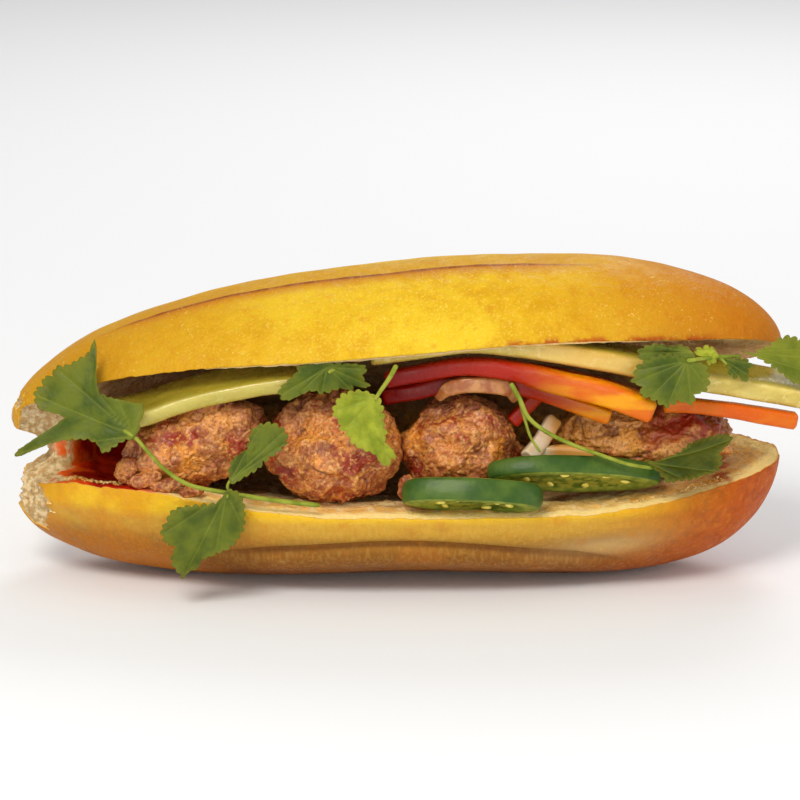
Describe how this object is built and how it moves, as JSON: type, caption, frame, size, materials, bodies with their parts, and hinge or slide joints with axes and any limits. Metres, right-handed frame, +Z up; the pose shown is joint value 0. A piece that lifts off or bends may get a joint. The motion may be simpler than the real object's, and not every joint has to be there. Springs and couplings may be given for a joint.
{
  "type": "banh mi sandwich",
  "caption": "Crusty short loaf slit along its front and filled with meatballs, cucumber, carrot, daikon, green chilli and coriander; one end is torn off.",
  "frame": {"origin": "centre of the flat sole that the loaf rests on", "axes": "+X along the loaf to its whole right end, +Y from the open front to the hinge at the back, +Z up"},
  "size_m": [0.2304, 0.0821, 0.0922],
  "materials": {
    "crust": "baked golden crust over pale crumb",
    "meat": "browned and moist with sauce",
    "cucumber": "moist cut flesh with a thin green skin",
    "carrot": "moist",
    "daikon": "moist",
    "green_chilli": "glossy skin round moist pith and seeds",
    "coriander": "soft leaf"
  },
  "bodies": {
    "root": {"bread": "crust", "meatball_1": "meat", "meatball_2": "meat", "meatball_3": "meat", "meatball_4": "meat", "cucumber_left": "cucumber", "cucumber_right": "cucumber", "carrot_1": "carrot", "carrot_2": "carrot", "carrot_3": "carrot", "carrot_4": "carrot", "carrot_5": "carrot", "daikon_1": "daikon", "daikon_2": "daikon", "daikon_3": "daikon", "chilli_1": "green_chilli", "chilli_2": "green_chilli", "coriander_left": "coriander", "coriander_edge": "coriander", "coriander_light": "coriander", "coriander_middle": "coriander", "coriander_right": "coriander"}
  },
  "joints": []
}
